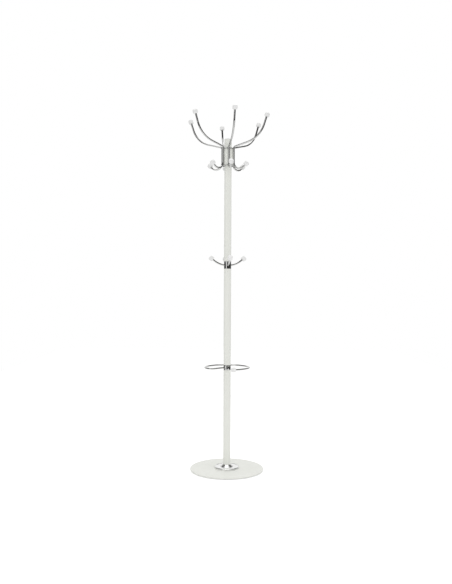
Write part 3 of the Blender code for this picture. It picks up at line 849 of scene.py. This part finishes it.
knob_shape = turned("knob_shape", rounded([
    (0, KNOB_BORE_L, 0),
    (ROD_HOLE_D / 2, KNOB_BORE_L, 0),
    (ROD_HOLE_D / 2, 0, KNOB_LIP_R),
    (KNOB_D / 2, 0, KNOB_MOUTH_R),
    (KNOB_D / 2, MOULD_LINE_Z - MOULD_LINE_W / 2, 0),
    (KNOB_D / 2 - MOULD_LINE_DEPTH, MOULD_LINE_Z, 0),
    (KNOB_D / 2, MOULD_LINE_Z + MOULD_LINE_W / 2, 0),
    (KNOB_D / 2, KNOB_L, KNOB_CROWN_R),
    (0, KNOB_L, 0),
], step=10), KNOB_STEPS)


def knob_on(end, direction):
    """A knob pushed on a rod that ends at a point and runs in a direction."""
    mouth = end - direction * (KNOB_BORE_L - KNOB_BORE_GAP)
    look = direction.to_track_quat("Z", "Y").to_matrix().to_4x4()
    return moved(knob_shape, Matrix.Translation(mouth) @ look)


# Umbrella ring: one chromed steel rod, bent out of its seat in the lower collar and clockwise round the pole.
# It stops in front with a knob, so that an umbrella can be stood in it from the side.
UMBRELLA_R = 0.115
UMBRELLA_BEND_R = 0.030
UMBRELLA_END_TURN = 14.0
UMBRELLA_TIP = 0.015
ROD_D = 0.0095
ROD_IN_SEAT = 0.009
ROD_SIDES = 24
ROD_SHARP_ANGLE = 50
BEND_STEP = 4.0


def bent(point, heading, *moves):
    """Points of a rod bent in one plane. A move is a straight length, or a bend's radius and turn."""
    point = Vector(point)
    points = [point.copy()]
    for move in moves:
        if not isinstance(move, tuple):
            point = point + Vector((math.cos(heading), math.sin(heading))) * move
            points.append(point.copy())
            continue
        radius, turn = move
        side = math.copysign(1, turn)
        centre = point + Vector((-math.sin(heading), math.cos(heading))) * radius * side
        count = math.ceil(abs(turn) / BEND_STEP)
        for _ in range(count):
            heading += math.radians(turn) / count
            point = centre + Vector((math.sin(heading), -math.cos(heading))) * radius * side
            points.append(point.copy())
    return points, heading


def path_mesh(points):
    """A line of edges through points, for a tree to draw a rod along."""
    mesh = bpy.data.meshes.new("path")
    mesh.from_pydata(points, [(i, i + 1) for i in range(len(points) - 1)], [])
    return mesh


rods_tree, rods_in = tree_of("rods_along_path", {
    "Rod Diameter": "Float", "Sides": "Int", "Count": "Int", "First Turn": "Float", "Finish": "Material",
})
rod_line = add(rods_tree, "GeometryNodeMeshToCurve", {"Mesh": rods_in["Geometry"]})
rod_round = add(rods_tree, "GeometryNodeCurvePrimitiveCircle", {
    "Resolution": rods_in["Sides"], "Radius": sums(rods_tree, "DIVIDE", rods_in["Rod Diameter"], 2.0),
})
rod_drawn = add(rods_tree, "GeometryNodeCurveToMesh", {
    "Curve": rod_line.outputs[0], "Profile Curve": rod_round.outputs[0], "Fill Caps": True,
})
rod_smooth = add(rods_tree, "GeometryNodeSetShadeSmooth", {0: rod_drawn.outputs[0]})
end_round_pole(rods_tree, rods_in, rod_smooth.outputs[0])


def rods(name, points, count, first_turn):
    """Like rods along a path, set round the pole, as one plain mesh."""
    return smoothed(grown(name, path_mesh(points), rods_tree, {
        "Rod Diameter": ROD_D, "Sides": ROD_SIDES, "Count": count, "First Turn": first_turn, "Finish": chrome,
    }), ROD_SHARP_ANGLE)


bend_out = UMBRELLA_R - UMBRELLA_BEND_R
bend_turn = math.degrees(math.asin(UMBRELLA_BEND_R / bend_out))
loop_turn = 360 + UMBRELLA_TURN - bend_turn - UMBRELLA_END_TURN
seat_r = POLE_D / 2 - ROD_IN_SEAT
loop, loop_heading = bent(
    (0, -seat_r),
    -math.pi / 2,
    math.sqrt(bend_out**2 - UMBRELLA_BEND_R**2) - seat_r,
    (UMBRELLA_BEND_R, -90 - bend_turn),
    (UMBRELLA_R, -loop_turn),
    UMBRELLA_TIP,
)
loop_points = [Vector((x, y, UMBRELLA_Z)) for x, y in loop]
umbrella = placed("umbrella_loop", rods("umbrella_loop", loop_points, 1, math.radians(UMBRELLA_TURN)))
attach(umbrella, "column")
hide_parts("umbrella_ring")
loop_direction = Vector((math.cos(loop_heading), math.sin(loop_heading), 0))
umbrella_cap = placed("umbrella_loop_knob", grown(
    "umbrella_loop_knob", knob_on(loop_points[-1], loop_direction), copies_tree,
    {"Count": 1, "First Turn": math.radians(UMBRELLA_TURN), "Finish": plastic},
))
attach(umbrella_cap, "column")
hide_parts("umbrella_knob")

# Pegs: four short chromed rods pressed into the tilted holes of the upper collar, curving up to a knob each.
# They take bags and scarves a little above the middle of the stand.
PEG_ROOT = 0.011
PEG_R = 0.110
PEG_TURN = 28.0
PEG_TIP = 0.0215


def in_front(point):
    """A point of the upright plane at the front, from its radius and height."""
    return Vector((0, -point[0], point[1]))


def heading_in_front(heading):
    """A direction in the upright plane at the front."""
    return in_front((math.cos(heading), math.sin(heading)))


peg_start = (POLE_D / 2 - ROD_IN_SEAT * math.cos(PEG_TILT), PEG_Z - ROD_IN_SEAT * math.sin(PEG_TILT))
peg_line, peg_heading = bent(peg_start, PEG_TILT, PEG_ROOT, (PEG_R, PEG_TURN), PEG_TIP)
peg_points = [in_front(point) for point in peg_line]
pegs = placed("pegs", rods("pegs", peg_points, PEG_COUNT, 0.0))
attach(pegs, "column")
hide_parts(*[f"peg_{i + 1}" for i in range(PEG_COUNT)])
peg_cap = knob_on(peg_points[-1], heading_in_front(peg_heading))
peg_caps = placed("peg_knobs", grown("peg_knobs", peg_cap, copies_tree, {
    "Count": PEG_COUNT, "First Turn": 0.0, "Finish": plastic,
}))
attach(peg_caps, "column")
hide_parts(*[f"peg_knob_{i + 1}" for i in range(PEG_COUNT)])

# Head: a turned hub on the pole, coated like it, with a plain chromed ring below it and a notched one above
# that holds the rods upright. A socket screw in the back of the hub clamps it to the pole.
HEAD_R = 0.033
HEAD_LOW = 1.5877
HEAD_HIGH = 1.6787
HEAD_BORE_R = 0.0193
RING_D = 0.069
TRIM_RING_D = 0.0605
RING_T = 0.0035
RING_EDGE_R = 0.0006
HUB_R = 0.02795
HUB_EDGE_R = 0.0008
HUB_LOW = 1.5915
HUB_HIGH = 1.6749
HUB_STEPS = 96
HOOK_COUNT = 6
NOTCH_DRILL_LOW = 1.55
NOTCH_DRILL_HIGH = 1.75
SET_SCREW_D = 0.006
SET_SCREW_TURN = 150.0
SET_SCREW_SINK = 0.0003
SET_SCREW_EDGE_R = 0.0004
SET_SCREW_POINT_R = 0.0008
SET_SOCKET_D = 0.0034
SET_SOCKET_LOW = 0.0035
SET_DRILL_IN = -0.01
SET_DRILL_OUT = 0.02
notch_drill = turned("notch_drill", [
    (0, NOTCH_DRILL_HIGH),
    (ROD_HOLE_D / 2, NOTCH_DRILL_HIGH),
    (ROD_HOLE_D / 2, NOTCH_DRILL_LOW),
    (0, NOTCH_DRILL_LOW),
], ROD_HOLE_STEPS)
notches = [moved(notch_drill, around(360 / HOOK_COUNT * i, HEAD_R)) for i in range(HOOK_COUNT)]
for name, solid, low, wide, drills in (
    ("trim_ring", "head_trim_ring", HEAD_LOW, TRIM_RING_D, []),
    ("clamp_ring", "head_clamp_ring", HEAD_HIGH - RING_T, RING_D, notches),
):
    clamp_mesh = bored(name, turned(name + "_blank", rounded([
        (HEAD_BORE_R, low + RING_T, 0),
        (wide / 2, low + RING_T, RING_EDGE_R),
        (wide / 2, low, RING_EDGE_R),
        (HEAD_BORE_R, low, 0),
    ], step=20), POLE_STEPS), drills)
    clamp_mesh.materials.append(chrome)
    clamp = placed(name, clamp_mesh)
    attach(clamp, "column")
    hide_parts(solid)

set_height = (HUB_LOW + HUB_HIGH) / 2
set_spot = around(SET_SCREW_TURN, HEAD_BORE_R, set_height) @ Matrix.Rotation(math.pi / 2, 4, "X")
set_length = HUB_R - HEAD_BORE_R
set_drill = turned("set_drill", [
    (0, SET_DRILL_OUT),
    (SET_SCREW_D / 2 + SCREW_GAP, SET_DRILL_OUT),
    (SET_SCREW_D / 2 + SCREW_GAP, SET_DRILL_IN),
    (0, SET_DRILL_IN),
], SCREW_STEPS)
hub_mesh = bored("hub", turned("hub_blank", rounded([
    (HEAD_BORE_R, HUB_HIGH, 0),
    (HUB_R, HUB_HIGH, HUB_EDGE_R),
    (HUB_R, HUB_LOW, HUB_EDGE_R),
    (HEAD_BORE_R, HUB_LOW, 0),
], step=20), HUB_STEPS), [moved(set_drill, set_spot)])
hub_mesh.materials.append(coat)
hub = placed("hub", hub_mesh)
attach(hub, "column")
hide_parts("head_hub")

set_mesh = bored("clamp_screw", turned("clamp_screw_blank", rounded([
    (0, set_length - SET_SCREW_SINK, 0),
    (SET_SCREW_D / 2, set_length - SET_SCREW_SINK, SET_SCREW_EDGE_R),
    (SET_SCREW_D / 2, 0, SET_SCREW_POINT_R),
    (0, 0, 0),
], step=30), SCREW_STEPS), [hex_drill(SET_SOCKET_D, set_length - SET_SOCKET_LOW, SET_DRILL_OUT)])
set_mesh.transform(set_spot)
set_mesh.materials.append(steel)
set_screw = placed("clamp_screw", set_mesh)
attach(set_screw, "column")
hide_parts("head_set_screw")

# Double hooks: six chromed steel rods clamped upright round the hub. Below, each turns out into a short hook.
# Above, it bends out over the ring and sweeps up into a long arm. A knob closes both ends.
ROD_BEND_LOW = 1.6043
ARM_ROOT_R = 0.010
ARM_ROOT_TURN = 75.0
ARM_RUN = 0.070
ARM_SWEEP_R = 0.130
ARM_SWEEP_TURN = 56.0
ARM_TIP = 0.051
HOOK_R = 0.032
HOOK_TURN = 133.0
HOOK_TIP = 0.021
hook_line, hook_heading = bent((HEAD_R, ROD_BEND_LOW), -math.pi / 2, (HOOK_R, HOOK_TURN), HOOK_TIP)
arm_line, arm_heading = bent(
    (HEAD_R, HEAD_HIGH),
    math.pi / 2,
    (ARM_ROOT_R, -ARM_ROOT_TURN),
    ARM_RUN,
    (ARM_SWEEP_R, ARM_SWEEP_TURN),
    ARM_TIP,
)
hook_points = [in_front(point) for point in hook_line]
arm_points = [in_front(point) for point in arm_line]
hooks = placed("double_hooks", rods("double_hooks", hook_points[::-1] + arm_points, HOOK_COUNT, 0.0))
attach(hooks, "column")
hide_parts(*[f"double_hook_{i + 1}" for i in range(HOOK_COUNT)])
for name, solid, end, heading in (
    ("arm_knobs", "arm_knob", arm_points[-1], arm_heading),
    ("hook_knobs", "hook_knob", hook_points[-1], hook_heading),
):
    caps = placed(name, grown(name, knob_on(end, heading_in_front(heading)), copies_tree, {
        "Count": HOOK_COUNT, "First Turn": 0.0, "Finish": plastic,
    }))
    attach(caps, "column")
    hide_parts(*[f"{solid}_{i + 1}" for i in range(HOOK_COUNT)])

# Cap: a flat plug moulded in the white plastic of the knobs, with a soft edge flush with the tube.
# Its stem is pushed into the top of the pole and closes it.
CAP_LOW = 1.7252
CAP_T = 0.004
CAP_EDGE_R = 0.002
CAP_PLUG_R = 0.0172
CAP_PLUG_L = 0.016
CAP_PLUG_EDGE_R = 0.001
cap_mesh = turned("cap", rounded([
    (0, CAP_LOW + CAP_T, 0),
    (POLE_D / 2, CAP_LOW + CAP_T, CAP_EDGE_R),
    (POLE_D / 2, CAP_LOW, 0),
    (CAP_PLUG_R, CAP_LOW, 0),
    (CAP_PLUG_R, CAP_LOW - CAP_PLUG_L, CAP_PLUG_EDGE_R),
    (0, CAP_LOW - CAP_PLUG_L, 0),
]), POLE_STEPS)
cap_mesh.materials.append(plastic)
cap = placed("cap", cap_mesh)
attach(cap, "column")
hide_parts("pole_cap")
